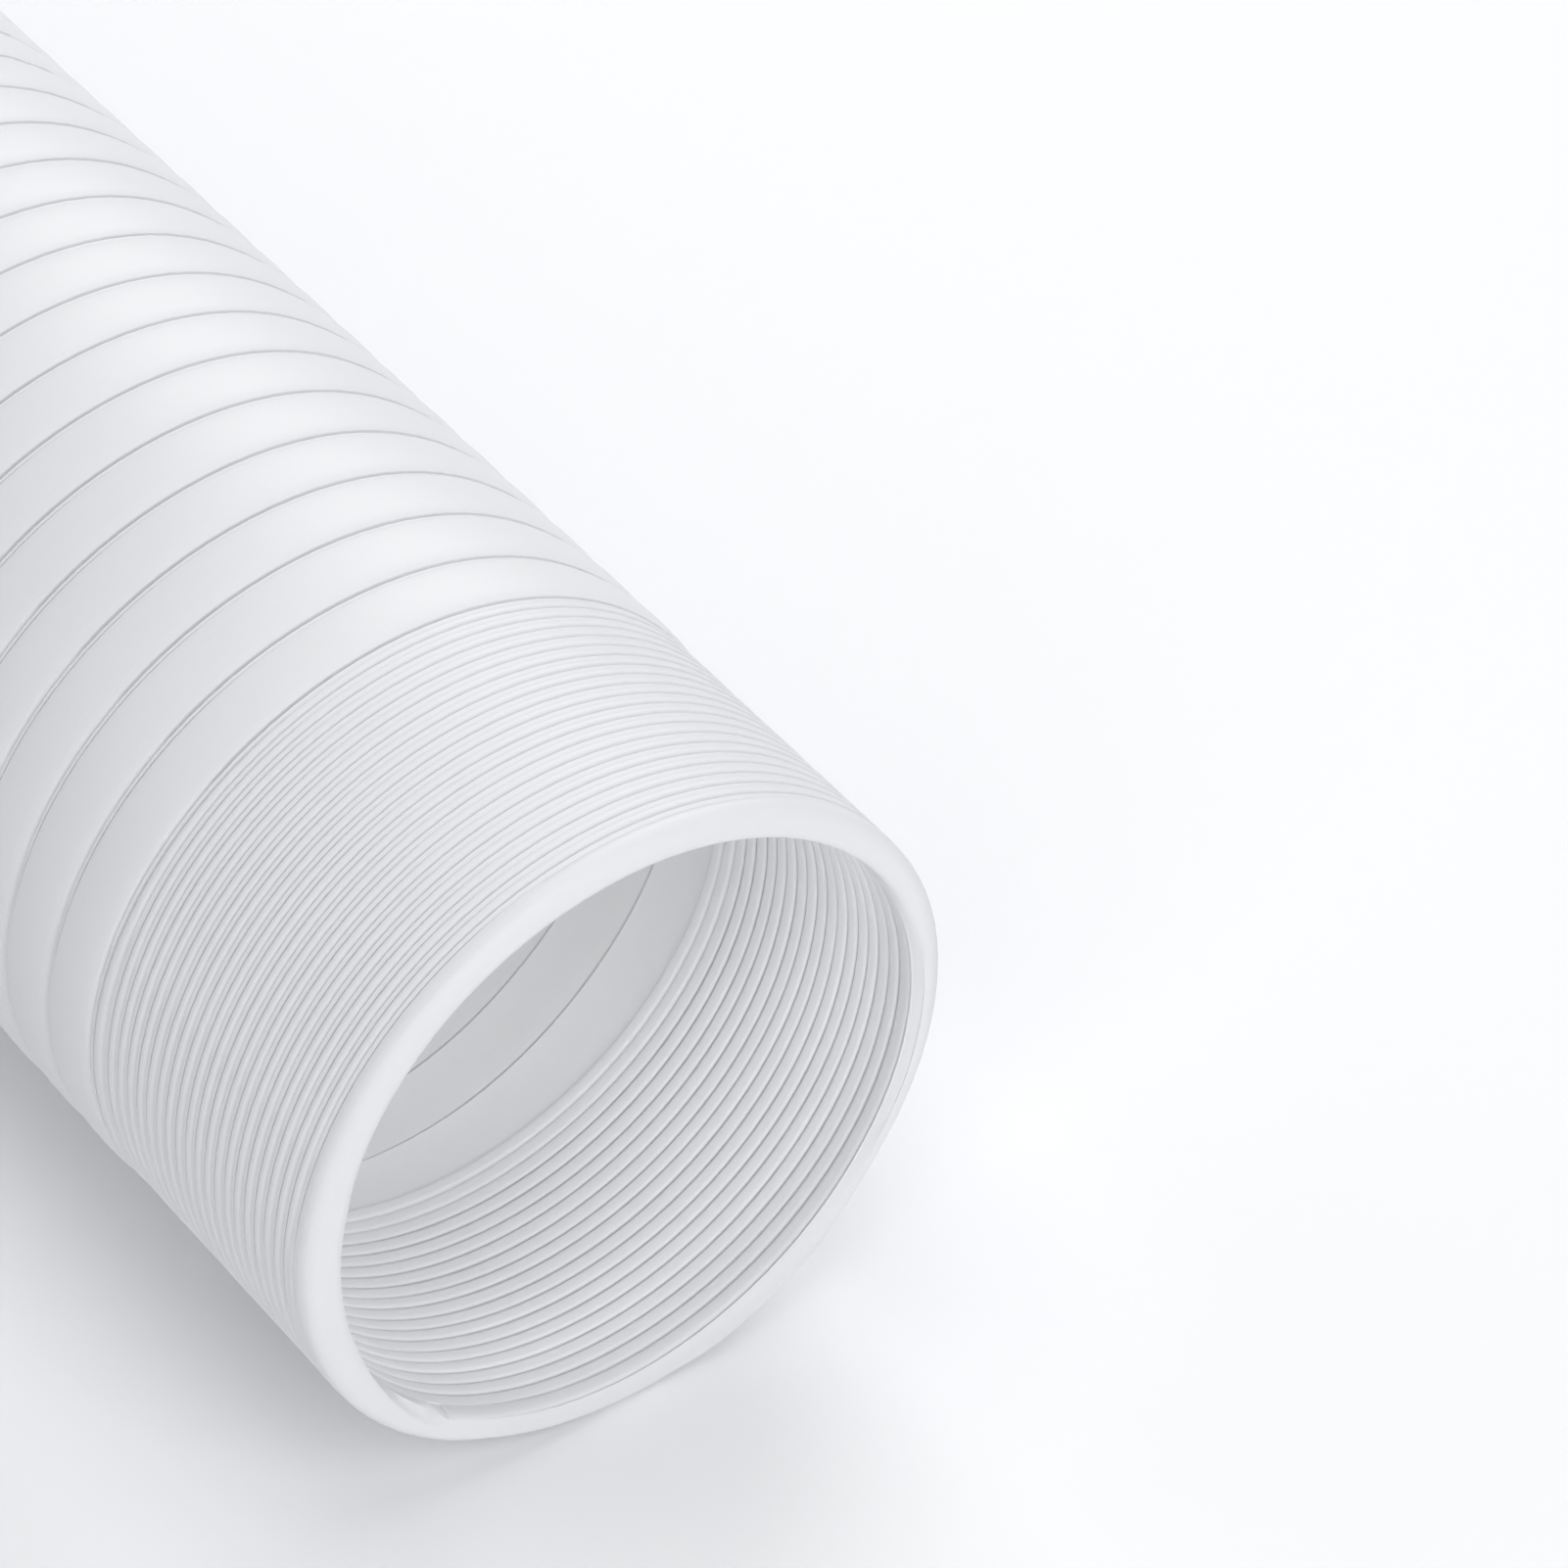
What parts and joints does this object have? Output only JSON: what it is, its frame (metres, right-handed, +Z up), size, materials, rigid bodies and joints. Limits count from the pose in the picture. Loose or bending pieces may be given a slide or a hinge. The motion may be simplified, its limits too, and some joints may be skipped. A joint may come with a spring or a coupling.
{
  "type": "portable air conditioner exhaust hose",
  "caption": "Flexible round duct hose wound from one hooked plastic strip, with pushed-together turns at its rolled mouth and pulled-out turns behind.",
  "frame": {"origin": "on the floor plane, under the middle of the hose", "axes": "+Y along the hose from its rolled mouth towards its far end, +Z up, +X to the right seen from in front of the mouth looking along +Y"},
  "size_m": [0.15, 1.254, 0.15],
  "materials": {
    "hose_plastic": "smooth semi-matte cool white polypropylene"
  },
  "bodies": {
    "root": {"hose": "hose_plastic"}
  },
  "joints": []
}
